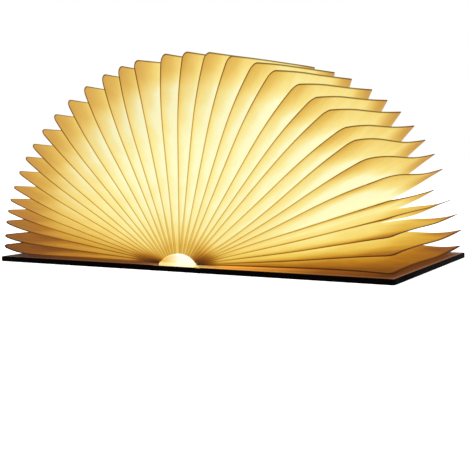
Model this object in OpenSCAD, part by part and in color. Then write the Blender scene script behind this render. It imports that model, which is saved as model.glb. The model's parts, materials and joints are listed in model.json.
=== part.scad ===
// Folding book lamp, standing open and flat on a table.
// Two wrapped boards and a narrow spine lie in one line. A domed light bar stands on the spine,
// and a block of folded pleats fans out from it, each pleat turning on its own line of the bar.
// X runs from fore-edge to fore-edge, Y along the spine from front to back, Z up.
// The origin is the middle of the spine, on the table.

/* [Book] */
// Length of the open book, from one fore-edge to the other
open_len = 209; // [196:1:225]
// Height of the covers, measured along the spine
book_h = 112; // [104:1:126]
// Thickness of the shut book, over both covers
shut_t = 25; // [24.5:0.5:30]
// Thickness of a cover, with its wrapping
cover_t = 2.5; // [2.3:0.1:3]
// Radius of the covers' outer corners
corner_r = 1.5; // [0.5:0.25:4]

/* [Covers] */
// Thickness of the leatherette wrapping
wrap_t = 0.3; // [0.2:0.05:0.4]
// Width of the wrapping that is turned in over the inner face
turn_in = 4; // [2:0.5:10]
// Thickness of the end sheet pasted inside each cover
sheet_t = 0.3; // [0.15:0.05:0.4]
// Diameter of the clasp magnets near the fore-edge
magnet_d = 8; // [5:0.5:10]
// Diameter of the small magnet that works the switch in the light bar
trigger_d = 4; // [3:0.5:5]
// Thickness of every magnet
magnet_t = 1.2; // [0.8:0.1:1.4]
// Distance from the fore-edge to the middle of the clasp magnets
magnet_in = 12; // [8:0.5:20]
// Distance from each end of the cover to the middle of its clasp magnets
magnet_end = 18; // [12:1:30]

/* [Hinges] */
// Diameter of the rolled leatherette that joins a cover to the spine
roll_d = 2.4; // [2:0.1:2.4]
// Clearance between the roll and the boards beside it
roll_gap = 0.05; // [0.03:0.01:0.1]

/* [Pleats] */
// Number of pleats in the whole block
pleats = 34; // [24:2:38]
// Width of a pleat, from the light bar to its fold
pleat_w = 92.5; // [80:0.5:93]
// Distance from the ends of the covers to the ends of the pleats
pleat_inset = 3; // [1.5:0.5:8]
// Thickness of the sheet that is folded into pleats
sheet_leaf_t = 0.14; // [0.08:0.01:0.15]
// Play between neighbouring pleats when the book is shut
pleat_play = 0.17; // [0.12:0.01:0.2]
// Width of the pressed fold along a pleat's fore-edge
fold_w = 0.6; // [0.3:0.1:2]
// Radius of a pleat's outer corners
pleat_r = 4; // [1:0.5:8]

/* [Fan] */
// Spread of the fan on each side, before the bulge is added
fan_spread = 90.4; // [84:0.1:90.5]
// How far the middle pleats of a side are opened past even steps
fan_bulge = 10.2; // [0:0.1:10.5]
// How far the top of the fan leans to the left
fan_lean = 3.2; // [0:0.1:3.2]

/* [Light bar] */
// Height of the upright sides of the bar, below its dome
bar_side = 0.8; // [0.4:0.1:1.2]
// Wall thickness of the tray and the diffuser
bar_wall = 1; // [0.8:0.1:1.1]
// Thickness of the tray's floor
floor_t = 0.8; // [0.6:0.1:1.2]
// Distance from the ends of the covers to the ends of the bar
bar_inset = 0.8; // [0.5:0.1:2]
// Height of the joint between tray and diffuser, above the spine
joint_h = 1.6; // [1.5:0.1:2]
// Thickness of the cap at the back end of the bar
cap_t = 1; // [0.8:0.1:1.5]

/* [Electrics] */
// Width of the lamp board
led_board_w = 7; // [5:0.5:7.5]
// Length of one lamp chip, across the bar
chip_l = 3.5; // [2.5:0.1:5]
// Width of one lamp chip, along the bar
chip_w = 2.8; // [2:0.1:3.5]
// Height of one lamp chip
chip_h = 0.8; // [0.6:0.1:1]
// Distance from one lamp chip to the next
chip_pitch = 9.5; // [6:0.5:20]
// Width of the battery
battery_w = 10; // [8:0.5:12]
// Length of the battery
battery_l = 36; // [25:1:40]
// Thickness of the battery
battery_t = 2.4; // [2.4:0.1:3]
// Width of the control board
control_w = 12; // [11.5:0.5:13]
// Length of the control board
control_l = 38; // [34:1:40]
// Thickness of both circuit boards
board_t = 0.8; // [0.6:0.1:1]
// Width of the charging socket
socket_w = 7.5; // [7:0.1:7.5]
// Height of the charging socket
socket_h = 2.4; // [2.2:0.1:2.5]
// Depth of the charging socket
socket_l = 5; // [4.5:0.1:6]
// Sheet thickness of the charging socket's shell
socket_wall = 0.3; // [0.2:0.05:0.35]
// Diameter of the charging light's window
pipe_d = 1.3; // [1:0.1:1.4]
// Diameter of the posts that carry the lamp board
post_d = 2.6; // [2:0.1:3]
// Diameter of the switch's glass tube
reed_d = 1.8; // [1.4:0.1:2]
// Length of the switch's glass tube
reed_l = 10; // [8:0.5:12]
// Diameter of the wires
wire_d = 0.8; // [0.5:0.1:1]

/* [Hidden] */
$fn = 48;
// Steps in a quarter of a rounded corner
corner_steps = 6;
// Clearance between pieces that drop into each other
fit = 0.05;
// Clearance between a pleat's root and the light bar
root_gap = 0.14;
// Clearance between the light bar and the shut covers
bar_gap = 0.6;
// Clearance above the battery and above the lamp chips
stack_gap = 0.3;
// Distance from the bar's front wall to the middle of its front post
post_in = 3;
// Overshoot of a cut past the face it opens
cut = 1;

// The roll's axis stands in mid-thickness, half a cover outside the shut block
block_half = shut_t / 2 - cover_t;
hinge_x = block_half + cover_t / 2;
hinge_z = cover_t / 2;
roll_r = roll_d / 2;
spine_half = hinge_x - cover_t / 2 - roll_gap;
cover_in = hinge_x + cover_t / 2 + roll_gap;
cover_len = open_len / 2 - cover_in;
board_top = cover_t - sheet_t;

// Pleats share the block's thickness evenly, so that they lie side by side when the book is shut
side_pleats = pleats / 2;
pleat_pitch = block_half / side_pleats;
pleat_t = pleat_pitch - pleat_play;
pleat_l = book_h - 2 * pleat_inset;

// The bar's height is the stack inside it
bar_w = 2 * (block_half - bar_gap);
bar_len = book_h - 2 * bar_inset;
bar_h = floor_t + battery_t + stack_gap + board_t + chip_h + stack_gap + bar_wall;
bar_front = -bar_len / 2;
bar_back = bar_len / 2;
cap_front = bar_back - cap_t;
dome_h = bar_h - bar_side;
dome_r = (pow(bar_w / 2, 2) + pow(dome_h, 2)) / (2 * dome_h);
dome_z = cover_t + bar_h - dome_r;
joint_z = cover_t + joint_h;
lip_h = 0.8;
lip_t = 0.5;

// Pleat roots stand on a larger arc round the same centre as the dome
root_r = dome_r + root_gap + pleat_t / 2;

// Heights and places inside the bar
floor_z = cover_t + floor_t;
rail_h = 0.3;
rail_w = 1.2;
control_z = floor_z + rail_h;
control_top = control_z + board_t;
control_back = cap_front - fit;
control_front = control_back - control_l;
led_z = floor_z + battery_t + stack_gap;
led_top = led_z + board_t;
post_r = post_d / 2;
front_post_y = bar_front + bar_wall + post_in;
battery_front = front_post_y + post_r + 2;
battery_back = battery_front + battery_l;
middle_post_y = battery_back + 2 + post_r;
back_post_y = control_back - socket_l - post_r - 3;
post_ys = [front_post_y, middle_post_y, back_post_y];
led_front = bar_front + bar_wall + 1;
led_back = back_post_y + post_r + 1;
led_len = led_back - led_front;
chip_margin = 3;
chip_count = floor((led_len - 2 * chip_margin - chip_w) / chip_pitch) + 1;
socket_z = control_top;
pipe_x = socket_w / 2 + 1.6;
pipe_z = control_top + pipe_d / 2 + 0.1;
pipe_l = 4;
reed_x = -control_w / 2 + reed_d / 2 + 0.6;
reed_y = control_front + reed_l / 2 + 3;

// Steps of the fan
function share(k) = (k - 0.5) / side_pleats;
function opening(side, k) =
    fan_spread * share(k) + fan_bulge * sin(180 * share(k)) - side * fan_lean * (1 - pow(share(k), 3));
function root_x(side, k) = side * (k - 0.5) * pleat_pitch;
function root_z(k) = dome_z + sqrt(pow(root_r, 2) - pow(root_x(1, k), 2));
function two_digits(k) = k < 10 ? str("0", k) : str(k);
function pleat_name(side, k) = str(side < 0 ? "left" : "right", "_pleat_", two_digits(k));

// Outline with square corners at x = 0 and rounded corners at x = len
function rounded_end(len, width, r) = concat(
    [[0, width / 2], [0, -width / 2]],
    [for (i = [0 : corner_steps]) let (a = -90 + 90 * i / corner_steps)
        [len - r + r * cos(a), -width / 2 + r + r * sin(a)]],
    [for (i = [0 : corner_steps]) let (a = 90 * i / corner_steps)
        [len - r + r * cos(a), width / 2 - r + r * sin(a)]]
);

PLEATS = [for (side = [-1, 1]) for (k = [1 : side_pleats]) pleat_name(side, k)];

leatherette = [0.11, 0.07, 0.05];
greyboard = [0.58, 0.53, 0.46];
brown_sheet = [0.34, 0.2, 0.11];
cream_sheet = [0.98, 0.87, 0.6];
white_plastic = [0.9, 0.89, 0.85];
glowing = [1, 0.97, 0.86];
board_green = [0.12, 0.36, 0.2];
chip_black = [0.09, 0.09, 0.1];
phosphor = [0.98, 0.86, 0.4];
steel = [0.72, 0.73, 0.75];
foil = [0.6, 0.62, 0.66];
reed_glass = [0.6, 0.75, 0.7];
wire_red = [0.7, 0.12, 0.1];

// A part of the right half, or its mirror image on the left
module on_side(side) {
    if (side > 0) children();
    else mirror([1, 0, 0]) children();
}

// Flat plate that starts at x = start and has rounded corners at its far end
module plate(start, len, width, r, low, high) {
    translate([start, 0, low]) linear_extrude(high - low) polygon(rounded_end(len, width, r));
}

// Box centred on x = 0 and y = 0
module slab(width, len, low, high) {
    translate([-width / 2, -len / 2, low]) cube([width, len, high - low]);
}

// Places of the three magnets of one cover, as [x, y, diameter]
magnet_places = [
    [open_len / 2 - magnet_in, book_h / 2 - magnet_end, magnet_d],
    [open_len / 2 - magnet_in, magnet_end - book_h / 2, magnet_d],
    [cover_in + wrap_t + trigger_d / 2 + 1, reed_y, trigger_d]
];

module magnet_discs(side, extra) {
    on_side(side)
        for (m = [for (i = [0 : (side < 0 ? 2 : 1)]) magnet_places[i]])
            translate([m[0], m[1], board_top - magnet_t])
                cylinder(h = magnet_t + extra, d = m[2] + (extra > 0 ? 2 * fit : 0));
}

// Leatherette round a cover board, with a window on its inner face for the end sheet
module cover_wrap(side) {
    color(leatherette) on_side(side) difference() {
        plate(cover_in, cover_len, book_h, corner_r, 0, cover_t);
        plate(cover_in + wrap_t, cover_len - 2 * wrap_t, book_h - 2 * wrap_t, corner_r / 2, wrap_t, board_top);
        plate(cover_in + turn_in, cover_len - 2 * turn_in, book_h - 2 * turn_in, corner_r / 2,
            wrap_t + cut / 2, cover_t + cut);
    }
}

module cover_board(side) {
    color(greyboard) difference() {
        on_side(side)
            plate(cover_in + wrap_t, cover_len - 2 * wrap_t, book_h - 2 * wrap_t, corner_r / 2, wrap_t, board_top);
        magnet_discs(side, cut);
    }
}

module end_sheet(side) {
    color(brown_sheet) on_side(side)
        plate(cover_in + turn_in, cover_len - 2 * turn_in, book_h - 2 * turn_in, corner_r / 2,
            board_top, cover_t);
}

module magnets(side) {
    color(steel) magnet_discs(side, 0);
}

module hinge_roll(side) {
    color(leatherette) translate([side * hinge_x, book_h / 2 - wrap_t, hinge_z])
        rotate([90, 0, 0]) cylinder(h = book_h - 2 * wrap_t, r = roll_r);
}

// Leatherette under and round the spine board, open on top where the light bar stands
module spine_wrap() {
    color(leatherette) difference() {
        slab(2 * spine_half, book_h, 0, cover_t);
        slab(2 * (spine_half - wrap_t), book_h - 2 * wrap_t, wrap_t, cover_t + cut);
    }
}

module spine_board() {
    color(greyboard) slab(2 * (spine_half - wrap_t), book_h - 2 * wrap_t, wrap_t, cover_t);
}

// The bar's outside, drawn in by an inset, from one y to another and between two heights
module bar_shape(inset, y0, y1, low, high) {
    intersection() {
        translate([0, y1, dome_z]) rotate([90, 0, 0]) cylinder(h = y1 - y0, r = dome_r - inset, $fn = 96);
        translate([inset - bar_w / 2, y0, low]) cube([bar_w - 2 * inset, y1 - y0, high - low]);
    }
}

// A post for the lamp board, with a hole round it where it passes through the control board
module post(y, low, high, extra) {
    translate([0, y, low]) cylinder(h = high - low, r = post_r + extra);
}

// Floor and low walls of the light bar, with rails and posts for what it carries
module bar_tray() {
    color(white_plastic) {
        difference() {
            bar_shape(0, bar_front, cap_front, cover_t, joint_z);
            bar_shape(bar_wall, bar_front + bar_wall, cap_front + cut, floor_z, joint_z + cut);
        }
        for (y = post_ys) post(y, floor_z, led_z, 0);
        for (x = [rail_w - control_w, control_w - rail_w])
            translate([(x - rail_w) / 2, control_front, floor_z])
                cube([rail_w, control_l, rail_h]);
    }
}

// Domed shell of the bar, closed at the front, with a lip that drops inside the tray
module diffuser() {
    lip_in = bar_wall + fit;
    lip_front = bar_front + lip_in;
    color(glowing) {
        difference() {
            bar_shape(0, bar_front, cap_front, joint_z, cover_t + bar_h);
            bar_shape(bar_wall, bar_front + bar_wall, cap_front + cut, joint_z - cut, cover_t + bar_h);
        }
        difference() {
            bar_shape(lip_in, lip_front, cap_front, joint_z - lip_h, joint_z + lip_h);
            bar_shape(lip_in + lip_t, lip_front + lip_t, cap_front + cut, joint_z - lip_h - cut,
                joint_z + lip_h + cut);
        }
    }
}

// Mouth of the charging socket: a slot with its lower corners cut off
module socket_outline(extra) {
    w = socket_w / 2 + extra;
    h = socket_h + 2 * extra;
    slope = 0.7;
    translate([0, -extra])
        polygon([[-w, h], [w, h], [w, slope], [w - slope, 0], [slope - w, 0], [-w, slope]]);
}

module socket_solid(extra, y0, y1) {
    translate([0, y1, socket_z]) rotate([90, 0, 0]) linear_extrude(y1 - y0) socket_outline(extra);
}

module light_window_rod(extra, y0, y1) {
    translate([pipe_x, y1, pipe_z]) rotate([90, 0, 0]) cylinder(h = y1 - y0, d = pipe_d + 2 * extra, $fn = 24);
}

// Flat cap on the back end, with holes for the charging socket and its light
module back_cap() {
    color(white_plastic) difference() {
        bar_shape(0, cap_front, bar_back, cover_t, cover_t + bar_h);
        socket_solid(fit, cap_front - cut, bar_back + cut);
        light_window_rod(fit, cap_front - cut, bar_back + cut);
    }
}

module lamp_board() {
    color([0.93, 0.93, 0.9]) translate([-led_board_w / 2, led_front, led_z])
        cube([led_board_w, led_len, board_t]);
}

module lamp_chips() {
    first = led_front + (led_len - (chip_count - 1) * chip_pitch) / 2;
    color(phosphor) for (i = [0 : chip_count - 1])
        translate([-chip_l / 2, first + i * chip_pitch - chip_w / 2, led_top])
            cube([chip_l, chip_w, chip_h]);
}

// Pouch cell with its folded seam at the lead end
module battery() {
    seam = 2;
    seam_t = 0.8;
    color(foil) translate([-battery_w / 2, battery_front, floor_z]) {
        cube([battery_w, battery_l - seam, battery_t]);
        translate([0.5, battery_l - seam, 0]) cube([battery_w - 1, seam, seam_t]);
    }
}

module control_board() {
    color(board_green) difference() {
        translate([-control_w / 2, control_front, control_z]) cube([control_w, control_l, board_t]);
        post(back_post_y, control_z - cut, control_top + cut, 4 * fit);
    }
}

// Charging and dimming chips and the charge lamp, soldered on the control board
module board_parts() {
    part_h = 0.9;
    part_gap = 4;
    charger_w = 5;
    charger_l = 4;
    dimmer_w = 3;
    charge_lamp = 1.2;
    charger_y = control_front + part_gap;
    dimmer_y = charger_y + charger_l + part_gap;
    color(chip_black) {
        translate([-1, charger_y, control_top]) cube([charger_w, charger_l, part_h]);
        translate([0, dimmer_y, control_top]) cube([dimmer_w, dimmer_w, part_h]);
        translate([pipe_x - charge_lamp / 2, control_back - pipe_l - charge_lamp + cap_t - 2 * fit, control_top])
            cube([charge_lamp, charge_lamp, charge_lamp]);
    }
}

// Pressed shell of the charging socket with its tongue, flush with the cap
module charging_socket() {
    tongue_t = 0.6;
    tongue_w = socket_w - 2.4;
    color(steel) {
        difference() {
            socket_solid(0, bar_back - socket_l, bar_back);
            socket_solid(-socket_wall, bar_back - socket_l + socket_wall, bar_back + cut);
        }
        translate([-tongue_w / 2, bar_back - socket_l, socket_z + socket_h / 2])
            cube([tongue_w, socket_l - 0.8, tongue_t]);
    }
}

module reed_switch() {
    color(reed_glass) translate([reed_x, reed_y + reed_l / 2, control_top + reed_d / 2])
        rotate([90, 0, 0]) cylinder(h = reed_l, d = reed_d);
}

module charge_light_window() {
    color(glowing) light_window_rod(0, bar_back - pipe_l, bar_back);
}

// Two leads from the battery to the control board, and two short ones up to the lamp board
module wires() {
    lead_z = control_top - wire_d / 2;
    color(wire_red) {
        for (x = [-2.6, 2.6])
            translate([x, control_front, lead_z])
                rotate([90, 0, 0]) cylinder(h = control_front - battery_back, d = wire_d, $fn = 16);
        for (x = [-2.4, 2.4])
            translate([x, back_post_y, control_top]) cylinder(h = led_z - control_top, d = wire_d, $fn = 16);
    }
}

// One pleat, standing upright on its root: two leaves joined along the fore-edge
module folded_leaf() {
    difference() {
        rotate([90, 0, 90]) translate([0, 0, -pleat_t / 2]) linear_extrude(pleat_t)
            rotate(90) polygon(rounded_end(pleat_w, pleat_l, pleat_r));
        slab(pleat_t - 2 * sheet_leaf_t, pleat_l + 2 * cut, -cut, pleat_w - fold_w);
    }
}

module pleat(side, k) {
    color(cream_sheet) translate([root_x(side, k), 0, root_z(k)])
        rotate([0, side * opening(side, k), 0]) folded_leaf();
}

spine_board();
spine_wrap();
hinge_roll(-1);  // left_hinge_roll
hinge_roll(1);  // right_hinge_roll
cover_wrap(-1);  // left_cover_wrap
cover_board(-1);  // left_cover_board
end_sheet(-1);  // left_end_sheet
magnets(-1);  // left_magnets
cover_wrap(1);  // right_cover_wrap
cover_board(1);  // right_cover_board
end_sheet(1);  // right_end_sheet
magnets(1);  // right_magnets
bar_tray();
diffuser();
back_cap();
lamp_board();
lamp_chips();
battery();
control_board();
board_parts();
charging_socket();
reed_switch();
charge_light_window();
wires();
for (side = [-1, 1]) for (k = [1 : side_pleats])
    pleat(side, k);
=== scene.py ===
# Folding book lamp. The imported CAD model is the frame; every surface that shows is made here.
import json
import math

import bpy
import numpy as np
from mathutils import Matrix, Vector


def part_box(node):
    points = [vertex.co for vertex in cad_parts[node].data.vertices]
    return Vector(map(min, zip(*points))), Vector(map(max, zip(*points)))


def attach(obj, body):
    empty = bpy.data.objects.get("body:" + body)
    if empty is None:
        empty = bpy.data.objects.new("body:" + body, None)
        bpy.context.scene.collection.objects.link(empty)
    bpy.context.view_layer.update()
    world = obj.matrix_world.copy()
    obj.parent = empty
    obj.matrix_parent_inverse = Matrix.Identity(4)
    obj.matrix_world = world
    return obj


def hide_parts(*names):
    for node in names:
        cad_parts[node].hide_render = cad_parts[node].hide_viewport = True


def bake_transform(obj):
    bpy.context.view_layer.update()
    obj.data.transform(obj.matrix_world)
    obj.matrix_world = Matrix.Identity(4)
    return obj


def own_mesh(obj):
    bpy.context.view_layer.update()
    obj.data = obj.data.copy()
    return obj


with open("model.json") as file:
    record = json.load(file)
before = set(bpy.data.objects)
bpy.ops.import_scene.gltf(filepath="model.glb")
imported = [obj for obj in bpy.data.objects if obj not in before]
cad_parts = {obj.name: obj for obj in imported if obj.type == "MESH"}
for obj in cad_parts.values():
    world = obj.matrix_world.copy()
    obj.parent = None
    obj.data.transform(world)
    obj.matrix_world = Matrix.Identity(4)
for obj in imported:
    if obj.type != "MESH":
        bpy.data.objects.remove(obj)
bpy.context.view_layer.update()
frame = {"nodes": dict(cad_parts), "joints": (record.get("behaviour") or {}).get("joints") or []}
scene = bpy.context.scene
mm = 0.001
pleatsPerSide = 17
joints = {joint["name"]: joint for joint in frame["joints"]}
print("frame loaded:", len(frame["nodes"]), "nodes")


# Colours are picked as they look on a screen and turned into scene values
def seen(red, green, blue):
    share = np.array([red, green, blue]) / 255
    linear = np.where(share <= 0.04045, share / 12.92, ((share + 0.055) / 1.055) ** 2.4)
    return [float(v) for v in linear] + [1.0]


# Heights and widths that everything else is measured from, in mm
def cadRange(node, axis):
    low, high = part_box(node)
    return low[axis] / mm, high[axis] / mm


coverTop = cadRange("spine_wrap", 2)[1]
spineHalf = cadRange("spine_wrap", 0)[1]
coverIn = cadRange("right_cover_wrap", 0)[0]
coverFront, coverBack = cadRange("right_cover_wrap", 1)
barHalf = cadRange("bar_tray", 0)[1]
barFront, barBack = cadRange("diffuser", 1)
barTop = cadRange("diffuser", 2)[1]


# Shader maths as Python: a Shade wraps one socket, and sums on it add Math nodes
class Shade:
    def __init__(self, finish, socket):
        self.finish = finish
        self.socket = socket

    def maths(self, operation, *others):
        values = dict(enumerate([self, *others]))
        return self.finish.node("ShaderNodeMath", {"operation": operation}, values)

    def __add__(self, other):
        return self.maths("ADD", other)

    __radd__ = __add__

    def __sub__(self, other):
        return self.maths("SUBTRACT", other)

    def __rsub__(self, other):
        return self.maths("MULTIPLY", -1.0).maths("ADD", other)

    def __mul__(self, other):
        return self.maths("MULTIPLY", other)

    __rmul__ = __mul__

    def __truediv__(self, other):
        return self.maths("DIVIDE", other)

    def __pow__(self, other):
        return self.maths("POWER", other)

    def least(self, other):
        return self.maths("MINIMUM", other)

    def most(self, other):
        return self.maths("MAXIMUM", other)

    def ramp(self, low, high, start=0.0, end=1.0):
        # smooth step from start to end while the value goes from low to high
        values = {0: self, 1: low, 2: high, 3: start, 4: end}
        return self.finish.node("ShaderNodeMapRange", {"interpolation_type": "SMOOTHSTEP"}, values)


class Finish:
    def __init__(self, name, roughness=0.5, specular=0.5):
        self.material = bpy.data.materials.new(name)
        self.material.use_nodes = True
        self.tree = self.material.node_tree
        self.shader = self.tree.nodes["Principled BSDF"]
        self.shader.inputs["Roughness"].default_value = roughness
        self.shader.inputs["Specular IOR Level"].default_value = specular
        self.places = None

    # settings come before sockets, because they can change which sockets a node has
    def node(self, kind, settings=None, values=None, output=0):
        made = self.tree.nodes.new(kind)
        for key, value in (settings or {}).items():
            if key == "stops":
                stops = made.color_ramp.elements
                while len(stops) < len(value):
                    stops.new(0.5)
                for stop, (place, colour) in zip(stops, value):
                    stop.position = place
                    stop.color = colour
            else:
                setattr(made, key, value)
        for key, value in (values or {}).items():
            self.feed(made.inputs[key], value)
        return Shade(self, made.outputs[output])

    def feed(self, socket, value):
        if isinstance(value, Shade):
            self.tree.links.new(value.socket, socket)
        elif isinstance(value, (list, tuple)) and socket.type == "VECTOR":
            socket.default_value = value[:3]
        else:
            socket.default_value = value

    def set(self, **values):
        # Python names stand for the shader's sockets, with a space before each capital
        for key, value in values.items():
            name = "".join(" " + c if c.isupper() else c for c in key).title().strip()
            self.feed(self.shader.inputs[name.replace("Ior", "IOR")], value)
        return self

    def place(self):
        if self.places is None:
            self.places = self.node("ShaderNodeTexCoord", output=3)
        return self.places

    def axes(self):
        # object coordinates as three numbers in mm
        split = self.node("ShaderNodeSeparateXYZ", None, {0: self.place()})
        outputs = split.socket.node.outputs
        return [Shade(self, outputs[i]) / mm for i in range(3)]

    def noise(self, size, detail=2.0, roughness=0.5, stretch=(1, 1, 1)):
        # size is the width of a speck, in mm
        at = self.place()
        if stretch != (1, 1, 1):
            at = self.node("ShaderNodeMapping", None, {0: at, 3: list(stretch)})
        values = {"Vector": at, "Scale": 1 / (size * mm), "Detail": detail, "Roughness": roughness}
        return self.node("ShaderNodeTexNoise", None, values)

    def cells(self, size, feature="F1"):
        values = {"Vector": self.place(), "Scale": 1 / (size * mm)}
        return self.node("ShaderNodeTexVoronoi", {"feature": feature}, values)

    def mix(self, factor, first, second, blend="MIX"):
        settings = {"data_type": "RGBA", "blend_type": blend}
        return self.node("ShaderNodeMix", settings, {0: factor, 6: first, 7: second}, output=2)

    def curve(self, value, places):
        # value read off a line through (place, level) pairs
        stops = [(place, [level, level, level, 1.0]) for place, level in places]
        return self.node("ShaderNodeValToRGB", {"stops": stops}, {0: value})

    def bump(self, height, depth, strength=1.0):
        values = {"Strength": strength, "Distance": depth * mm, "Height": height}
        return self.node("ShaderNodeBump", None, values)

    def glow(self, colour, lit, plain):
        # the colour, sent out lit times and reflected plain times
        for key, share in (("emissionColor", lit), ("baseColor", plain)):
            part = self.node("ShaderNodeVectorMath", {"operation": "SCALE"}, {0: colour, 3: share})
            self.set(**{key: part})
        self.shader.inputs["Emission Strength"].default_value = 1.0


# Painted light: the pleats' colour is a painted glow that stands in for the light behind them: brightest half way
# out, with painted shade tan at the tips and brown near the covers.
# Distances in mm; a pair is where a change starts and where it is complete.
pleatGlow = dict(
    # screen colours of the painted glow, from the dimmest place of the paper to the brightest
    heat=[(0.0, seen(88, 50, 38)), (0.1, seen(113, 68, 32)), (0.25, seen(150, 92, 33)),
          (0.4, seen(189, 128, 43)), (0.55, seen(219, 172, 68)), (0.7, seen(238, 202, 102)),
          (0.82, seen(249, 225, 136)), (0.92, seen(252, 240, 168)), (1.0, seen(255, 253, 208))],
    # painted glow by distance from the spine's middle line, and the distance where the line ends
    reach=[(10, 0.85), (12, 0.9), (15, 0.98), (20, 1.04), (30, 1.06), (50, 1.08), (62, 1.08),
           (72, 1.08), (82, 1.03), (90, 0.85), (98, 0.76), (106, 0.68)],
    reachEnd=110,
    # low is the painted glow by the sine of the height above the covers, with painted shade low down. The rest paints
    # shade and light, most of it on the lowest pleats
    left=dict(low=[(0, 0.45), (0.052, 0.52), (0.139, 0.58), (0.267, 0.78), (0.407, 0.91), (0.755, 0.985), (1, 1)],
              shadowWedge=1.15, wedgeEnd=31.0, wedgeWide=0.22, lowWide=0.167, heavy=1.6, under=0.4, rim=0.12, rimDeep=6.0,
              outer=0.26, inner=0.0, amber=0.0, lift=0.07),
    right=dict(low=[(0, 0.33), (0.05, 0.45), (0.105, 0.66), (0.174, 0.71), (0.259, 0.735), (0.375, 0.85),
                    (0.515, 0.905), (1, 1)],
               shadowWedge=1.0, wedgeEnd=22.0, wedgeWide=0.47, lowWide=0.25, heavy=2.0, under=0.05, rim=0.42, rimDeep=11.0,
               outer=0.03, inner=0.2, amber=0.75, lift=0.0),
    wedgeStart=11.0,
    # painted shade: the front edge is a little darker, more so further out, and the paper brighter deeper in. The
    # keys below paint more shade and light on the lowest pleats, at the corners and on the inner faces; cloud and
    # fibre are the paper's own tone
    frontShade=0.86, frontDeep=36.0, bright=1.14, frontFade=(15, 85), quick=0.12, quickFade=-0.4,
    underDeep=(8, 26), rimFade=(20, 60), outerFade=(55, 95), innerFade=(48, 72), liftStart=(60, 75), liftEnd=(83, 91),
    leftFade=(-30, 60), tipShade=0.19, tipFade=(50, 98), tipDeep=24.0,
    backShade=0.4, backFade=(72, 100), backDeep=(72, 104), tipShadeColour=seen(207, 162, 96), tipShadeMix=0.42,
    amberLightTint=(1, 0.97, 0.6, 1), insideShade=0.16,
    cloudSize=9, cloudHeat=0.025, fibreSize=0.7, fibreHeat=0.012, fibreDepth=0.05,
    # painted shade: a drawn line darkens the front edge and the fold, where the cut paper lets no glow through
    edgeShadeTint=(0.64, 0.52, 0.3, 1), tipShadeTint=(0.2, 0.16, 0.11, 1), edgeWidth=0.32, foldWidth=0.45,
    lineFade=(12, 60), tintFade=(64, 96), tintMost=0.8,
    glowShare=0.8, roughness=0.8, specular=0.04,
)


def bell(value, wide):
    # one at zero, falling off to nothing past wide
    part = value * (1 / wide)
    return (part * part * -1.0).maths("EXPONENT")


def drawnLine(distance, width):
    return distance.ramp(width * 0.5, width * 1.5, 1.0, 0.0)


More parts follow.
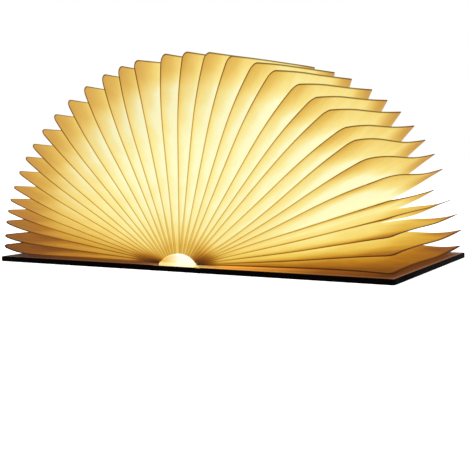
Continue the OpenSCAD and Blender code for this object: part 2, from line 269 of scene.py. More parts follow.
def pleatFinish(name, word):
    look = pleatGlow
    own = look[word]
    paper = Finish(name, roughness=look["roughness"], specular=look["specular"])
    x, y, z = paper.axes()
    up = z - coverTop
    radius = (x * x + up * up) ** 0.5
    height = up / radius
    end = look["reachEnd"]
    # painted light: the glow by distance from the spine and by height above the covers
    byRadius = paper.curve(radius / end, [(r / end, v) for r, v in look["reach"]])
    byHeight = paper.curve(height, own["low"])
    # painted shadow: a dark wedge beside the bar, low down on each side
    near = radius.ramp(look["wedgeStart"], own["wedgeEnd"], 1.0, 0.0)
    shadowWedge = own["shadowWedge"] * near * bell(height, own["wedgeWide"])

    # the map gives the distance from the front and from the fold; the inner faces are marked by the first number
    uv = paper.node("ShaderNodeUVMap", {"uv_map": "pleatMap"})
    split = paper.node("ShaderNodeSeparateXYZ", None, {0: uv}).socket.node.outputs
    inside = Shade(paper, split[0]).maths("GREATER_THAN", 1.5)
    fromFront = Shade(paper, split[0]) * 100 - inside * 200
    fromFold = Shade(paper, split[1]) * 100

    lowest = bell(height, own["lowWide"])
    # painted shade and light by depth: darker at the front edge and brighter deeper in, with painted shade deep in,
    # along the front and far out on the lowest pleats, painted light near the bar on the lowest right ones, and a
    # band of painted light part way out
    rise = (fromFront / look["frontDeep"]).least(1.0) * (look["bright"] - look["frontShade"]) + look["frontShade"]
    front = 1.0 + (rise - 1.0) * radius.ramp(*look["frontFade"], 0.5, 1.0)
    front = front * (1.0 - look["quick"] * (fromFront * look["quickFade"]).maths("EXPONENT"))
    front = front * (1.0 - own["under"] * lowest * fromFront.ramp(*look["underDeep"]))
    rim = own["rim"] * radius.ramp(*look["rimFade"], 0.4, 1.0)
    front = front * (1.0 - rim * lowest * (fromFront * (-1 / own["rimDeep"])).maths("EXPONENT"))
    front = front * (1.0 - own["outer"] * lowest * radius.ramp(*look["outerFade"]))
    front = front * (1.0 + own["inner"] * lowest * radius.ramp(*look["innerFade"], 1.0, 0.0))
    front = front * (1.0 + own["lift"] * radius.ramp(*look["liftStart"]) * radius.ramp(*look["liftEnd"], 1.0, 0.0))
    # painted shade at the front corners, stronger on the left, and at the back corners
    leftward = x.ramp(*look["leftFade"], 1.0, 0.25)
    frontTip = radius.ramp(*look["tipFade"]) * fromFront.ramp(0, look["tipDeep"], 1.0, 0.0) * leftward
    backTip = radius.ramp(*look["backFade"]) * fromFront.ramp(*look["backDeep"])
    cloud = paper.noise(look["cloudSize"], detail=3).ramp(0.25, 0.75, -look["cloudHeat"], look["cloudHeat"])
    fibre = paper.noise(look["fibreSize"], detail=2, stretch=(1, 0.35, 1))
    # the painted glow with its painted light and shade, painted shade on the inner faces, and the paper's own cloudy
    # and fibrous tone
    heat = byRadius * byHeight * front * (1.0 - shadowWedge).most(0.0)
    heat = heat * (1.0 - look["tipShade"] * frontTip) * (1.0 - look["backShade"] * backTip)
    heat = heat * (1.0 - inside * look["insideShade"]) + cloud
    heat = heat + fibre.ramp(0.2, 0.8, -look["fibreHeat"], look["fibreHeat"])

    colour = paper.node("ShaderNodeValToRGB", {"stops": look["heat"]}, {0: heat})
    # painted shade: the corners are mixed towards a tan shade colour, except on the lowest pleats
    colour = paper.mix(frontTip.most(backTip) * look["tipShadeMix"] * (1.0 - lowest), colour, look["tipShadeColour"])
    # painted light: the lowest pleats take a deeper amber, most on the right
    colour = paper.mix(lowest * own["amber"], colour, look["amberLightTint"], "MULTIPLY")
    # painted shade: the drawn lines widen on the lowest pleats, and their colour darkens further out and low down
    heavy = 1.0 + own["heavy"] * lowest
    line = drawnLine(fromFront / heavy, look["edgeWidth"])
    fold = drawnLine(fromFold / heavy, look["foldWidth"])
    outline = line.most(fold) * radius.ramp(*look["lineFade"], 0.7, 1.0)
    outward = (radius.ramp(*look["tintFade"]) * look["tintMost"]).most(lowest * look["tintMost"])
    lineShade = paper.mix(outward, look["edgeShadeTint"], look["tipShadeTint"])
    colour = paper.mix(outline, colour, lineShade, "MULTIPLY")
    # painted light: most of the colour is sent out as glow, standing in for the bar's light shining through the paper
    paper.glow(colour, look["glowShare"], 1 - look["glowShare"])
    paper.set(normal=paper.bump(fibre, look["fibreDepth"], 0.4))
    return paper.material


# Leatherette: near black, pressed grain, a dull sheen that wears smooth
leather = dict(
    colour=seen(3, 2, 2), worn=seen(6, 4, 3), roughness=0.58, specular=0.006,
    grain=0.55, fine=0.25, wear=14, grainDepth=0.045,
    # how much the wear lightens the colour, how much lighter the grain's cells are than their creases as painted
    # shade in the creases, and how much the wear and the fine grain roughen it
    toneMix=0.25, creaseShadeMix=0.15, toneRough=0.14, fineRough=0.08,
)


def leatherFinish():
    skin = Finish("leatherette", specular=leather["specular"])
    cells = skin.cells(leather["grain"], "DISTANCE_TO_EDGE")
    fine = skin.noise(leather["fine"], detail=3)
    crease = cells.ramp(0.0, 0.25)
    # painted shade: the colour is darker in the grain's creases; the same pattern also presses the grain in
    tone = skin.noise(leather["wear"], detail=4).ramp(0.35, 0.75)
    colour = skin.mix(tone * leather["toneMix"] + crease * leather["creaseShadeMix"], leather["colour"], leather["worn"])
    rough = leather["roughness"] + leather["toneRough"] * tone + leather["fineRough"] * fine
    skin.set(baseColor=colour, roughness=rough)
    skin.set(normal=skin.bump(crease * 0.8 + fine * 0.35, leather["grainDepth"], 0.7))
    return skin.material


# End leaf: paper pasted on the board, with the lamp's light painted on it: bright near the hub, and painted shade
# brown towards the rim.
# Colours by distance from the middle, as shares of colourEnd; other distances in mm
leaf = dict(
    right=[(0.0, seen(250, 208, 130)), (0.12, seen(255, 206, 110)), (0.24, seen(250, 184, 76)),
           (0.5, seen(204, 144, 56)), (0.68, seen(150, 94, 36)), (1.0, seen(122, 72, 32))],
    # painted shade: the left leaf is darker than the right, beside the bar
    left=[(0.0, seen(250, 208, 130)), (0.12, seen(170, 110, 70)), (0.24, seen(118, 72, 46)),
          (0.6, seen(108, 68, 38)), (1.0, seen(70, 44, 28))],
    # painted shade: the colour called rim darkens the leaf towards its front, back and outer edges, and also tints
    # the fibre specks. glow is the share sent out as painted light
    colourEnd=100, rim=seen(46, 30, 24), rimSides=(46, 53), rimOuter=(90, 100.5), rimMix=0.3,
    fibreSize=0.6, fibreMix=0.15, fibreDepth=0.04, glow=0.6,
    # shape: height over the cover by the bar, how far it settles on the board, the dip over the hinge, and
    # the overlap on the turned-in wrapping. Then where the columns stand, from the bar to the rim
    thick=0.12, rise=0.14, settle=0.09, settleWide=3, dip=0.5, dipWide=1.1, overlap=3.2, rows=40,
    barGap=0.1, pastHinge=2.5, hingeColumns=22, innerSteps=(-0.05, 0, 0.3), flatFrom=2, flatTo=0.3, flatColumns=30,
    outerSteps=(0, 0.3, 1.5),
)


def leafFinish():
    paper = Finish("endLeafPaper", roughness=0.7, specular=0.2)
    x, y, z = paper.axes()
    out = x.maths("ABSOLUTE")
    place = out / leaf["colourEnd"]
    shades = [paper.node("ShaderNodeValToRGB", {"stops": leaf[word]}, {0: place}) for word in ("left", "right")]
    colour = paper.mix(x.maths("GREATER_THAN", 0.0), *shades)
    # painted shade towards the leaf's edges
    edge = y.maths("ABSOLUTE").ramp(*leaf["rimSides"]).most(out.ramp(*leaf["rimOuter"]))
    colour = paper.mix(edge * leaf["rimMix"], colour, leaf["rim"])
    fibre = paper.noise(leaf["fibreSize"], detail=3, stretch=(0.4, 1, 1))
    colour = paper.mix(fibre.ramp(0.3, 0.7) * leaf["fibreMix"], colour, leaf["rim"])
    # painted light: part of the colour is sent out as glow
    paper.glow(colour, leaf["glow"], 1.0)
    paper.set(normal=paper.bump(fibre, leaf["fibreDepth"], 0.4))
    return paper.material


# Diffuser: glowing opal plastic, its glow painted warmer and dimmer to the left and along the foot
dome = dict(
    left=seen(244, 184, 78), warm=seen(255, 234, 158), bright=seen(255, 254, 236), right=seen(255, 246, 205),
    footBand=(1.0, 2.2), footMix=0.5, flowSize=6, flowMix=0.12, flowDepth=0.02, glow=0.9, plain=0.2,
)


def domeFinish():
    opal = Finish("glowingOpal", roughness=0.35, specular=0.4)
    x, y, z = opal.axes()
    # painted light: amber at the left, brightest in the middle and paler at the right; warmer along the foot
    stops = [(0.0, dome["left"]), (0.12, dome["left"]), (0.4, dome["warm"]), (0.56, dome["bright"]),
             (0.85, dome["bright"]), (1.0, dome["right"])]
    colour = opal.node("ShaderNodeValToRGB", {"stops": stops}, {0: (x + barHalf) / (2 * barHalf)})
    low, high = dome["footBand"]
    foot = z.ramp(coverTop + low, coverTop + high, 1.0, 0.0)
    colour = opal.mix(foot * dome["footMix"], colour, dome["warm"])
    flow = opal.noise(dome["flowSize"], detail=2)
    colour = opal.mix(flow.ramp(0.4, 0.8) * dome["flowMix"], colour, dome["right"])
    opal.glow(colour, dome["glow"], dome["plain"])
    opal.set(normal=opal.bump(flow, dome["flowDepth"], 0.2))
    return opal.material


# Finishes of the pieces inside, and of the charging end: two tones in specks of a size in mm
def plainFinish(name, colour, second, size, roughness, metallic=0.0, depth=0.02, stretch=(1, 1, 1), alpha=None):
    skin = Finish(name, roughness=roughness)
    grain = skin.noise(size, detail=3, stretch=stretch)
    tone = grain.ramp(0.3, 0.7)
    skin.set(baseColor=skin.mix(tone, colour, second), roughness=roughness - 0.08 + 0.16 * tone)
    skin.set(normal=skin.bump(grain, depth, 0.5))
    skin.shader.inputs["Metallic"].default_value = metallic
    if alpha is not None:
        skin.shader.inputs["Alpha"].default_value = alpha
    return skin.material


def finishes():
    made = {
        "leatherette": leatherFinish(),
        "leaf": leafFinish(),
        "opal": domeFinish(),
        "leftPaper": pleatFinish("leftPleatPaper", "left"),
        "rightPaper": pleatFinish("rightPleatPaper", "right"),
        "greyboard": plainFinish("greyboard", seen(150, 138, 118), seen(172, 160, 140), 0.5, 0.9, depth=0.05),
        "whitePlastic": plainFinish("whitePlastic", seen(238, 232, 214), seen(228, 220, 200), 0.4, 0.45),
        "lampBoard": plainFinish("lampBoardMask", seen(240, 240, 232), seen(228, 230, 222), 1.2, 0.4),
        "phosphor": plainFinish("chipGel", seen(252, 226, 120), seen(246, 208, 84), 0.5, 0.3),
        "circuit": plainFinish("circuitBoard", seen(24, 92, 48), seen(18, 74, 40), 0.8, 0.35),
        "chip": plainFinish("chipBlack", seen(26, 26, 28), seen(38, 38, 40), 0.3, 0.5),
        "steel": plainFinish("brushedSteel", seen(196, 198, 202), seen(170, 173, 178), 0.12, 0.3, 1.0, 0.01,
                             (0.15, 1, 1)),
        "foil": plainFinish("pouchFoil", seen(176, 180, 188), seen(156, 160, 168), 1.5, 0.35, 0.8, 0.06),
        "glass": plainFinish("switchGlass", seen(190, 214, 205), seen(176, 204, 194), 0.8, 0.1, alpha=0.6),
        "wire": plainFinish("wireSleeve", seen(178, 34, 28), seen(158, 26, 24), 0.4, 0.5),
    }
    nodeFinish = {
        "spine_board": "greyboard", "left_cover_board": "greyboard", "right_cover_board": "greyboard",
        "left_magnets": "steel", "right_magnets": "steel", "bar_tray": "opal", "back_cap": "whitePlastic",
        "lamp_board": "lampBoard", "lamp_chips": "phosphor", "battery": "foil", "control_board": "circuit",
        "board_parts": "chip", "charging_socket": "steel", "reed_switch": "glass",
        "charge_light_window": "opal", "wires": "wire",
    }
    for node, key in nodeFinish.items():
        for slot in frame["nodes"][node].material_slots:
            slot.material = made[key]
    return made


finish = finishes()
print("finishes:", len(finish))


# A mesh from points and quads. uv is one pair per point; from the face numbered edgesFrom on, the faces
# are cut edges, which take the outer side's pair
def addPiece(name, points, faces, material, uv=None, edgesFrom=None):
    mesh = bpy.data.meshes.new(name)
    mesh.from_pydata(points * mm, [], faces)
    mesh.polygons.foreach_set("use_smooth", np.ones(len(mesh.polygons), bool))
    if uv is not None:
        layer = mesh.uv_layers.new(name="pleatMap")
        corner = np.empty(len(mesh.loops), np.int32)
        mesh.loops.foreach_get("vertex_index", corner)
        perCorner = uv[corner].astype(np.float32)
        if edgesFrom is not None:
            perCorner[4 * edgesFrom:, 0] -= 2 * (perCorner[4 * edgesFrom:, 0] > 1.5)
        layer.data.foreach_set("uv", perCorner.ravel())
    mesh.materials.append(material)
    piece = bpy.data.objects.new(name, mesh)
    scene.collection.objects.link(piece)
    return piece


# Quads between neighbouring points of a grid of index numbers
def quads(grid):
    return np.stack([grid[:-1, :-1], grid[1:, :-1], grid[1:, 1:], grid[:-1, 1:]], -1).reshape(-1, 4)


# Shape of the glowing diffuser in mm, and the numbers of points round its front edge, across and along it
diffuser = dict(rounding=0.5, wall=0.32, lower=0.75, foot=0.8, footMost=1.6, steps=7, across=33, along=24)


# Pleat: two thin leaves joined at the fore-edge. Distances in mm, angles in degrees; a pair is where a
# change starts and where it is complete. Pleats are numbered on each side from the top one down
pleat = dict(
    leafThick=0.12, foldHalf=0.15, wide=92.5,
    # where the pleats leave the bar
    hubX=-0.9, baseReach=9.0, baseLift=1.8, liftPower=3, baseDip=0.45, dipPower=14, domeGap=0.05,
    # where their front and back corners reach to, and how these are rounded
    frontReach=97.3, frontSpread=6.3, backReach=99.4, backSpread=4.2, leftMore=2.3, leftMoreShare=(0.25, 0.85),
    rightMore=0.8, shortPleat={("right", 13): 8.0, ("right", 14): 1.3, ("right", 16): -1.0},
    leftCorner=(5.0, 4.6), rightCorner=(5.0, 3.4), backCorner=0.5, droopLength=95.0,
    # how far each pleat's front corner stands off the even fan
    leftStray=(-2.4, -0.1, -1.8, -2.6, -2.1, -1.6, -1.2, -0.8, -0.8, -1.3, -1.2, -0.8, -0.9, -1.3, -1.6, -1.0, -1.4),
    rightStray=(-2.2, -2.0, -2.0, -2.6, -1.5, -2.5, -2.0, -0.8, -1.0, -0.1, 0.1, -0.7, 0.0, 0.1, 0.0, -0.6, -1.1),
    # how far the leaves spread near the bar: share of the gap at the front and further in, and where they close
    mouth=0.26, fill=0.45, gapLeast=0.55, gapTop=0.9, inwardDeep=(0, 60), closeFirst=2, closeMore=53,
    closeLong=20, closeLonger=14, closeLeast=8, closeBelow=3,
    openMore={("right", 13): 4, ("right", 14): 11, ("right", 15): 6},
    # curl of the front corner
    curl=1.2, curlTop=2.3, curlStart=58.0, curlDepth=42.0, curlLater=16.0, curlPower=2.3, curlDeepLow=(28, 90),
    curlMore={("left", 17): 2.5, ("left", 16): 1.1, ("left", 15): 0.8, ("left", 14): 0.3, ("right", 4): 1.0,
              ("right", 5): 0.7, ("right", 6): 0.7, ("right", 7): 0.6, ("right", 9): 0.4, ("right", 12): 1.0},
    straight={("left", 2): 0.0, ("left", 8): 0.5},
    # flare of the back corner, and the belly between
    flare=1.8, flareStart=76.0, flareDepth=40.0, belly=1.3, bellyLong=95,
    # sag of the right pleats' fore-edges
    rightSag=(0, 0, 0, 0, 0.4, 0, 0, 0.7, 0.9, 2.0, 2.0, 1.6, 2.0, 2.1, 2.2, 1.6, 1.0), sagDeep=(5, 75), sagStart=45,
    # front edges of the low right pleats hang below the straight line: (bow, drop of the corner)
    frontSag={9: (0.8, 0), 10: (2.6, -1.2), 11: (2.1, -0.4), 12: (1.4, 0), 13: (0.9, 2.6), 14: (1.5, 1.7),
              15: (1.6, 1.4), 16: (1.3, 0.5)},
    bowLong=100, hangAlong=(20, 85), hangDeep=(20, 80),
    # bend of the low pleats beside the bar
    lowShare=(0.5, 0.8), lowestShare=(0.7, 0.9), rootBow=1.3, bowFade=25,
    rootSpread=0.25, rootMiddle=15.5, rootFade=5.0,
    # the top right pleat stands aside, clear of the middle
    firstAside=0.85, middleRoom=-0.05, firstHalf=0.1,
    # numbers of rows and columns, and how closely the rows crowd towards the tip
    along=18, across=30, cornerSteps=8, backSteps=4, foldSteps=4, crowd=1.3,
)


def smooth(value, low, high):
    part = np.clip((value - low) / (high - low), 0, 1)
    return part * part * (3 - 2 * part)


def reachAhead(base, way, centre, radius):
    # distance from base, going the way of a unit vector, to a circle round centre
    start = base - np.array(centre)
    along = float(start @ way)
    return -along + math.sqrt(max(along ** 2 + radius ** 2 - float(start @ start), 0))


def domeArc():
    # circle of the diffuser's top, from its foot on both sides over the crown
    rise = barTop - coverTop - diffuser["lower"] - diffuser["foot"]
    radius = (barHalf ** 2 + rise ** 2) / (2 * rise)
    return radius, coverTop + diffuser["foot"] + rise - radius


def pleatSheet(word, k, opening, gapAngle, pivot, front, back):
    # Each point is base + s * way + t * across in the XZ plane, at depth y. The way runs straight from
    # beside the dome to the tip, s grows along it, and t is the small distance off that line: half the
    # pleat's own thickness, plus the curl of the front corner, the flare of the back corner, the belly
    # between them, and on the right the sag of the fore-edge and the hang of the front edge.
    side = -1 if word == "left" else 1
    first = side > 0 and k == 1
    share = (k - 0.5) / pleatsPerSide
    dip = 1 - pleat["baseDip"] * share ** pleat["dipPower"]
    base = np.array([pleat["hubX"] + side * pleat["baseReach"] * math.sin(math.pi / 2 * share),
                     coverTop + pleat["baseLift"] * share ** pleat["liftPower"] * dip])
    if first:
        base[0] += pleat["firstAside"]
    cadWay = math.radians(90 - side * opening)
    cadTip = np.array(pivot) + pleat["wide"] * np.array([math.cos(cadWay), math.sin(cadWay)])
    polar = math.atan2(cadTip[1] - coverTop, cadTip[0])
    polar += math.radians(pleat[word + "Stray"][k - 1])
    centre = (pleat["hubX"], coverTop)
    flat = math.cos(polar) ** 2
    frontReach = pleat["frontReach"] + pleat["frontSpread"] * flat
    backReach = pleat["backReach"] + pleat["backSpread"] * flat - pleat["shortPleat"].get((word, k), 0)
    if side < 0:
        frontReach += pleat["leftMore"] * smooth(share, *pleat["leftMoreShare"])
    else:
        frontReach += pleat["rightMore"] * math.sin(2 * polar)
    radial = np.array([math.cos(polar), math.sin(polar)])
    curl = (pleat["curl"] + pleat["curlTop"] * radial[1]) * pleat["straight"].get((word, k), 1.0)
    curl += pleat["curlMore"].get((word, k), 0)
    corner = np.array(centre) + frontReach * radial + curl * np.array([-radial[1], radial[0]])
    way = (corner - base) / np.linalg.norm(corner - base)
    across = np.array([-way[1], way[0]])
    domeRadius, domeCentre = domeArc()
    start = reachAhead(base, way, (0, domeCentre), domeRadius + pleat["domeGap"])
    frontEnd = reachAhead(base, way, centre, frontReach)
    backEnd = reachAhead(base, way, centre, backReach)

    # columns run from front to back, closer together round the front corner
    turn = np.linspace(0, math.pi / 2, pleat["cornerSteps"])
    lastTurn = np.linspace(math.pi / 2, 0, pleat["backSteps"])
    deepCorner, tallCorner = pleat[word + "Corner"]
    backCorner = pleat["backCorner"]
    middle = np.linspace(front + deepCorner, back - backCorner, pleat["along"] + 2)[1:-1]
    y = np.concatenate([front + deepCorner * (1 - np.cos(turn)), middle, back - backCorner * (1 - np.cos(lastTurn))])
    drop = np.concatenate([tallCorner * (1 - np.sin(turn)), 0 * middle, backCorner * (1 - np.sin(lastTurn))])
    near = np.clip(1 - (y - front) / pleat["droopLength"], 0, 1)
    top = backEnd - drop - (backEnd - frontEnd) * near ** pleat["crowd"]

    # rows run up one leaf, round the fold and down the other
    up = 1 - (1 - np.linspace(0, 1, pleat["across"])) ** pleat["crowd"]
    bend = np.linspace(math.pi / 2, -math.pi / 2, pleat["foldSteps"] + 2)[1:-1]
    rowUp = np.concatenate([up, np.ones(len(bend)), up[::-1]])
    rowSide = np.concatenate([np.ones(len(up)), np.sin(bend), -np.ones(len(up))])
    rowOut = np.concatenate([0 * up, np.cos(bend), 0 * up])
    s = start + (top[None, :] - start) * rowUp[:, None]
    deep = (y - front)[None, :]

    # near the dome the leaves spread until they nearly touch the next pleat, further out at the back
    gap = pleat["gapLeast"] + pleat["gapTop"] * (1 - share) ** 2 + math.radians(gapAngle) * (s - start)
    inward = smooth(deep, *pleat["inwardDeep"])
    closeAt = start + pleat["closeFirst"] + (pleat["closeMore"] + pleat["openMore"].get((word, k), 0)) * inward
    closed = closeAt + pleat["closeLong"] + pleat["closeLonger"] * inward
    closed = np.minimum(closed, top[None, :] - pleat["closeBelow"])
    spread = 1 - smooth(s, np.minimum(closeAt, closed - pleat["closeLeast"]), closed)
    fold = pleat["foldHalf"]
    fill = pleat["mouth"] + (pleat["fill"] - pleat["mouth"]) * inward
    half = fold + (np.maximum(fill * gap, fold) - fold) * spread
    if first:
        # it keeps right of the middle, where the left pleats stand when their cover is shut
        room = base[0] + pleat["middleRoom"] + s * way[0] - pleat["leafThick"] / 2
        half = np.clip(room, pleat["firstHalf"], half)

    low = smooth(share, *pleat["lowShare"])
    lowLeft = smooth(share, *pleat["lowestShare"]) if side < 0 else 0.0
    curlStart = pleat["curlStart"] + pleat["curlLater"] * lowLeft
    frontness = np.clip(1 - deep / pleat["curlDepth"], 0, 1) ** 1.5
    frontness = frontness + (1 - smooth(deep, *pleat["curlDeepLow"]) - frontness) * lowLeft
    curled = np.clip((s - curlStart) / (frontEnd - curlStart), 0, 1.1) ** pleat["curlPower"]
    shift = -curl * curled * frontness
    backness = np.clip((deep - (back - front) + pleat["flareDepth"]) / pleat["flareDepth"], 0, 1) ** 1.5
    flared = np.clip((s - pleat["flareStart"]) / (backEnd - pleat["flareStart"]), 0, 1) ** 2
    shift = shift + (0 if first else pleat["flare"]) * flared * backness
    arch = np.sin(math.pi * deep / (back - front))
    bellied = np.sin(math.pi * np.clip((s - start) / pleat["bellyLong"], 0, 1))
    shift = shift + pleat["belly"] * share ** 2 * arch * bellied
    if side > 0:
        sagged = np.clip((s - pleat["sagStart"]) / (backEnd - pleat["sagStart"]), 0, 1) ** 2
        shift = shift - pleat["rightSag"][k - 1] * smooth(deep, *pleat["sagDeep"]) * sagged
        bow, hang = pleat["frontSag"].get(k, (0, 0))
        bowed = bow * np.sin(math.pi * np.clip(s / pleat["bowLong"], 0, 1)) + hang * smooth(s, *pleat["hangAlong"])
        shift = shift - bowed * (1 - smooth(deep, *pleat["hangDeep"]))
        shift = shift + pleat["rootBow"] * low * arch * np.exp(-(s - start) / pleat["bowFade"])
    rooted = pleat["rootSpread"] * (pleat["rootMiddle"] - k) * side * low
    shift = shift + rooted * np.exp(-(s - start) / pleat["rootFade"])

    def surface(offset):
        lateral = shift + rowSide[:, None] * offset
        outward = s + rowOut[:, None] * offset
        xz = base + outward[..., None] * way + lateral[..., None] * across
        return np.stack([xz[..., 0], np.broadcast_to(y, s.shape), xz[..., 1]], -1)

    outer = surface(half + pleat["leafThick"] / 2)
    inner = surface(half - pleat["leafThick"] / 2)
    uv = np.stack([np.broadcast_to(deep, s.shape), top[None, :] - s], -1) / 100
    return outer, inner, uv


def addPleat(word, k):
    body = "%s_pleat_%02d" % (word, k)
    joint = joints[body + "_turn"]
    opening = joint["range_deg"][1]
    other = k + 1 if k < pleatsPerSide else k - 1
    gapAngle = abs(joints["%s_pleat_%02d_turn" % (word, other)]["range_deg"][1] - opening)
    pivot = [joint["pos_m"][0] / mm, joint["pos_m"][2] / mm]
    front, back = cadRange(body, 1)
    outer, inner, uv = pleatSheet(word, k, opening, gapAngle, pivot, front, back)
    count = uv.shape[0] * uv.shape[1]
    grid = np.arange(count).reshape(uv.shape[:2])
    shell = [quads(grid)[:, ::-1], quads(grid + count),
             quads(np.stack([grid[:, 0], grid[:, 0] + count])), quads(np.stack([grid[:, -1] + count, grid[:, -1]])),
             quads(np.stack([grid[0] + count, grid[0]])), quads(np.stack([grid[-1], grid[-1] + count]))]
    points = np.vstack([outer.reshape(-1, 3), inner.reshape(-1, 3)])
    # the inner faces are marked by a first coordinate above 1.5
    flatUv = uv.reshape(-1, 2)
    uvAll = np.vstack([flatUv, flatUv + [2, 0]])
    piece = addPiece("%sPleatSheet%02d" % (word, k), points, np.vstack(shell), finish[word + "Paper"], uvAll,
                     len(shell[0]) + len(shell[1]))
    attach(piece, body)
    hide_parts(body)
    side = -1 if word == "left" else 1
    cadWay = math.radians(90 - side * opening)
    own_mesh(piece)


for word in ("left", "right"):
    for k in range(1, pleatsPerSide + 1):
        addPleat(word, k)
print("pleats:", 2 * pleatsPerSide)


# Wrapped board: a closed skin swept round a rounded rectangle, with a pocket for the board. Sizes in mm;
# closeAt is how far in the skin runs below the board, flat is where its top starts to lie flat
board = dict(
    edge=0.45, steps=4, cornerSteps=5, leastCorner=0.02, roundCorner=1.5, squareCorner=0.1, wall=0.3, lip=(0.1, 0.08),
    cover=dict(turnIn=4.0, closeAt=12.0, flat=1.35), spine=dict(turnIn=0.52, closeAt=4.0, flat=0.416, skin=0.09),
)


def ringSkin(name, low, high, profile, corner, material):
    # profile is a list of (inset, height); each gives one ring of the rounded rectangle.
    # corner is the radius of the corners on the right and on the left
    centre = (np.array(low[:2]) + np.array(high[:2])) / 2
    halves = (np.array(high[:2]) - np.array(low[:2])) / 2
    turn = np.linspace(0, math.pi / 2, board["cornerSteps"])
    rings = []
    for inset, height in profile:
        ring = []
        for quarter, (sx, sy) in enumerate([(1, 1), (-1, 1), (-1, -1), (1, -1)]):
            radius = max(corner[0 if sx > 0 else 1] - inset, board["leastCorner"])
            reach = halves - inset - radius
            angle = turn + quarter * math.pi / 2
            ring.append(np.stack([centre[0] + sx * reach[0] + radius * np.cos(angle),
                                  centre[1] + sy * reach[1] + radius * np.sin(angle),
                                  np.full(len(turn), height)], -1))
        rings.append(np.vstack(ring))
    rings = np.array(rings)
    count = rings.shape[1]
    grid = np.arange(rings.shape[0] * count).reshape(rings.shape[0], count)
    grid = np.hstack([grid, grid[:, :1]])
    faces = [list(f) for f in quads(grid)[:, ::-1]]
    faces.append(list(grid[0, :-1])[::-1])
    faces.append(list(grid[-1, :-1]))
    return addPiece(name, rings.reshape(-1, 3), faces, material)


def wrapProfile(kind, top, pocketTop):
    # under the board, round its lower and upper edges, over the top and into the pocket
    edge, wall = board["edge"], board["wall"]
    turnIn, closeAt, flat = (board[kind][key] for key in ("turnIn", "closeAt", "flat"))
    bend = np.linspace(0, math.pi / 2, board["steps"])
    path = [(closeAt, 0.0), (edge * 3, 0.0)]
    path += [(edge * (1 - math.sin(a)), edge * (1 - math.cos(a))) for a in bend]
    path += [(edge * (1 - math.cos(a)), top - edge * (1 - math.sin(a))) for a in bend]
    path += [(flat, top), (turnIn - board["lip"][0], top), (turnIn, top - board["lip"][1])]
    path += [(turnIn, pocketTop), (wall, pocketTop), (wall, wall), (closeAt, wall)]
    return path


square, rounded = board["squareCorner"], board["roundCorner"]
for word, corner in (("left", (square, rounded)), ("right", (rounded, square))):
    low, high = (np.array(end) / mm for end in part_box(word + "_cover_wrap"))
    sheetLow = cadRange(word + "_end_sheet", 2)[0]
    cover = ringSkin(word + "CoverLeather", low, high, wrapProfile("cover", high[2], sheetLow),
                     corner, finish["leatherette"])
    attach(cover, word + "_cover")
    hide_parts(word + "_cover_wrap")
low, high = (np.array(end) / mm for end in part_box("spine_wrap"))
spine = ringSkin("spineLeather", low, high, wrapProfile("spine", coverTop, coverTop - board["spine"]["skin"]),
                 (square, square), finish["leatherette"])
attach(spine, "light_unit")
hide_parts("spine_wrap")
print("covers and spine")


# Sheet given by an upper and a lower line along X, from front to back
def stripPiece(name, x, upper, lower, front, back, rows, material):
    y = np.linspace(front, back, rows)
    columns = len(x)
    points = np.empty((rows, 2 * columns, 3))
    points[..., 0] = np.concatenate([x, x[::-1]])
    points[..., 1] = y[:, None]
    points[:, :columns, 2] = upper
    points[:, columns:, 2] = lower[..., ::-1]
    grid = np.arange(rows * 2 * columns).reshape(rows, 2 * columns)
    ring = np.hstack([grid, grid[:, :1]])
    faces = [list(f) for f in quads(ring)]
    for row, flip in ((grid[0], False), (grid[-1], True)):
        cap = np.stack([row[:columns], row[::-1][:columns]])
        faces += [list(f)[::-1] if flip else list(f) for f in quads(cap)]
    return addPiece(name, points.reshape(-1, 3), faces, material)


# Hinge strip: leatherette pressed into the groove between spine and cover, in mm. The groove starts the
# share called rim in from either side, and runs out over the distance called flush at the front and back
hinge = dict(bottom=0.02, top=2.34, groove=0.5, dip=0.3, overlap=0.25, columns=17, rows=40, flush=2.5, rim=0.06)


def addHinge(side, word):
    x = np.linspace(spineHalf - hinge["overlap"], coverIn + hinge["overlap"], hinge["columns"])
    part = (x - x[0]) / (x[-1] - x[0])
    sink = np.sin(math.pi * np.clip((part - hinge["rim"]) / (1 - 2 * hinge["rim"]), 0, 1)) ** 2
    y = np.linspace(coverFront, coverBack, hinge["rows"])[:, None]
    inward = smooth(np.minimum(y - coverFront, coverBack - y), 0, hinge["flush"])
    lower = hinge["bottom"] + hinge["groove"] * sink * inward
    upper = hinge["top"] - hinge["dip"] * sink * inward
    if side < 0:
        x, upper, lower = -x[::-1], upper[:, ::-1], lower[:, ::-1]
    piece = stripPiece(word + "HingeStrip", x, upper, lower, coverFront, coverBack, hinge["rows"],
                       finish["leatherette"])
    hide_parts(word + "_hinge_roll")
    word + "_cover"
    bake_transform(piece)


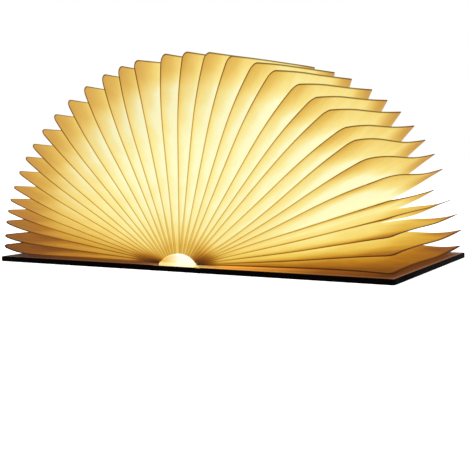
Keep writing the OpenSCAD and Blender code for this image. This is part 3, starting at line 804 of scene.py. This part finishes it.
# End leaf: starts beside the light bar, sags over the hinge and lies over the cover's turned-in wrapping.
# Its columns stand closer together over the hinge, at the CAD sheet's inner edge and at the rim
def addLeaf(side, word):
    inner, outer = cadRange(word + "_end_sheet", 0)
    if side < 0:
        inner, outer = -outer, -inner
    overHinge = np.linspace(barHalf + leaf["barGap"], coverIn + leaf["pastHinge"], leaf["hingeColumns"])
    overCover = np.linspace(inner + leaf["flatFrom"], outer - leaf["flatTo"], leaf["flatColumns"])
    x = np.concatenate([overHinge, inner + np.array(leaf["innerSteps"]), overCover,
                        outer + np.array([*leaf["outerSteps"], leaf["overlap"]])])
    sag = np.exp(-((x - (spineHalf + coverIn) / 2) / leaf["dipWide"]) ** 2)
    settled = leaf["settle"] * np.clip((x - inner) / leaf["settleWide"], 0, 1)
    upper = coverTop + leaf["rise"] - leaf["dip"] * sag - settled
    lower = upper - leaf["thick"]
    if side < 0:
        x, upper, lower = -x[::-1], upper[::-1], lower[::-1]
    front, back = cadRange(word + "_end_sheet", 1)
    piece = stripPiece(word + "EndLeaf", x, upper, lower, front - leaf["overlap"], back + leaf["overlap"],
                       leaf["rows"], finish["leaf"])
    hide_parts(word + "_end_sheet")
    word + "_cover"
    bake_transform(piece)


for side, word in ((-1, "left"), (1, "right")):
    addHinge(side, word)
    addLeaf(side, word)
print("hinges and end leaves")


# Diffuser: the bar's section carried along Y, drawn in at the front by a rounded edge
def addDome():
    foot = min(cadRange("bar_tray", 2)[1], coverTop + diffuser["footMost"])
    arc, centre = domeArc()

    def ring(inset, y):
        # from the left foot over the dome to the right foot
        radius = arc - inset
        widest = math.asin(min((barHalf - inset) / radius, 1))
        lean = np.linspace(-widest, widest, diffuser["across"])
        z = np.maximum(centre + radius * np.cos(lean), foot)
        return np.stack([radius * np.sin(lean), np.full(len(lean), y), z], -1)

    bend = np.linspace(0, math.pi / 2, diffuser["steps"])
    rounding, wall = diffuser["rounding"], diffuser["wall"]
    stations = [(rounding * (1 - math.sin(a)), barFront + rounding * (1 - math.cos(a))) for a in bend]
    stations += [(0.0, y) for y in np.linspace(barFront + rounding, barBack, diffuser["along"])[1:]]
    outer = [ring(inset, y) for inset, y in stations]
    inside = [ring(inset + wall, max(y, barFront + wall)) for inset, y in stations[::-1]]
    rings = np.array(outer + inside)
    rows, columns = rings.shape[:2]
    grid = np.arange(rows * columns).reshape(rows, columns)
    faces = [list(f)[::-1] for f in quads(grid)]
    faces.append(list(grid[0]))
    faces.append(list(grid[-1])[::-1])
    first = len(outer)
    for side in (0, -1):
        edge = np.stack([grid[:first, side], grid[first:, side][::-1]])
        faces += [list(f) if side == 0 else list(f)[::-1] for f in quads(edge)]
    piece = addPiece("domedDiffuser", rings.reshape(-1, 3), faces, finish["opal"])
    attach(piece, "light_unit")
    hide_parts("diffuser")


addDome()
print("light bar")


# Floor and backdrop: white to the eye, and a plain floor that keeps the lamp's shadow. Sizes in mm
ground = dict(half=4000.0, below=0.02, grey=0.8, glow=0.62, light=0.55)


def floorFinish():
    tile = Finish("paleFloor", roughness=0.8, specular=0.1)
    tree = tile.tree
    path = tile.node("ShaderNodeLightPath")
    outputs = path.socket.node.outputs
    looks = Shade(tile, outputs["Is Camera Ray"]).most(Shade(tile, outputs["Is Glossy Ray"]))
    looks = looks.most(Shade(tile, outputs["Is Transmission Ray"]))
    plain = tile.node("ShaderNodeBsdfDiffuse", None, {"Color": [ground["grey"]] * 3 + [1]})
    white = tile.node("ShaderNodeEmission", None, {"Color": [1, 1, 1, 1], "Strength": ground["glow"]})
    both = tile.node("ShaderNodeAddShader", None, {0: plain, 1: white})
    mixed = tile.node("ShaderNodeMixShader", None, {0: looks, 1: plain, 2: both})
    tree.links.new(mixed.socket, tree.nodes["Material Output"].inputs["Surface"])
    return tile.material


corners = np.array([[-1, -1, 0], [1, -1, 0], [1, 1, 0], [-1, 1, 0]]) * ground["half"]
corners[:, 2] = -ground["below"]
floor = addPiece("floor", corners, [[0, 1, 2, 3]], floorFinish())


def addWorld():
    world = bpy.data.worlds.new("studio")
    world.use_nodes = True
    scene.world = world
    tree = world.node_tree
    lit = tree.nodes["Background"]
    lit.inputs["Color"].default_value = [1, 1, 1, 1]
    lit.inputs["Strength"].default_value = ground["light"]
    shown = tree.nodes.new("ShaderNodeBackground")
    shown.inputs["Color"].default_value = [1, 1, 1, 1]
    shown.inputs["Strength"].default_value = 1.0
    path = tree.nodes.new("ShaderNodeLightPath")
    pick = tree.nodes.new("ShaderNodeMixShader")
    most = tree.nodes.new("ShaderNodeMath")
    most.operation = "MAXIMUM"
    tree.links.new(path.outputs["Is Camera Ray"], most.inputs[0])
    tree.links.new(path.outputs["Is Glossy Ray"], most.inputs[1])
    tree.links.new(most.outputs[0], pick.inputs[0])
    tree.links.new(lit.outputs[0], pick.inputs[1])
    tree.links.new(shown.outputs[0], pick.inputs[2])
    tree.links.new(pick.outputs[0], tree.nodes["World Output"].inputs["Surface"])


addWorld()


# Soft studio lamps, given by place and size in mm and power in W. All of them face one point of the lamp
lampAim = (0, 0, 40)
lamps = dict(
    key=((-500, -700, 900), 700, 9.0),
    fill=((800, -500, 600), 700, 5.0),
    back=((100, 900, 800), 600, 5.0),
)
for name, (place, size, power) in lamps.items():
    light = bpy.data.lights.new(name, "AREA")
    light.size = size * mm
    light.energy = power
    lamp = bpy.data.objects.new(name, light)
    scene.collection.objects.link(lamp)
    lamp.location = [v * mm for v in place]
    aim = Vector(lampAim) - Vector(place)
    lamp.rotation_euler = aim.to_track_quat("-Z", "Y").to_euler()


# Camera fitted to the cover's corners and the pleat tips: place in mm, angles in degrees
view = dict(
    place=(226.38, -422.06, 55.16), yaw=28.08, pitch=-5.10, roll=0.44,
    # focal length in pixels of the picture, the sensor and the nearest thing drawn in mm
    focal=944.6, picture=470, sensor=36.0, nearest=10,
)


def addCamera():
    yaw, pitch, roll = (math.radians(view[key]) for key in ("yaw", "pitch", "roll"))
    forward = Vector((-math.sin(yaw) * math.cos(pitch), math.cos(yaw) * math.cos(pitch), math.sin(pitch)))
    right = forward.cross(Vector((0, 0, 1))).normalized()
    down = forward.cross(right)
    turnedRight = math.cos(roll) * right + math.sin(roll) * down
    turnedDown = -math.sin(roll) * right + math.cos(roll) * down
    data = bpy.data.cameras.new("photoView")
    data.sensor_fit = "HORIZONTAL"
    data.sensor_width = view["sensor"]
    data.lens = view["focal"] / view["picture"] * view["sensor"]
    data.clip_start = view["nearest"] * mm
    camera = bpy.data.objects.new("photoView", data)
    scene.collection.objects.link(camera)
    turn = Matrix((turnedRight, -turnedDown, -forward)).transposed().to_4x4()
    camera.matrix_world = Matrix.Translation(Vector(view["place"]) * mm) @ turn
    scene.camera = camera


addCamera()
scene.view_settings.view_transform = "Standard"
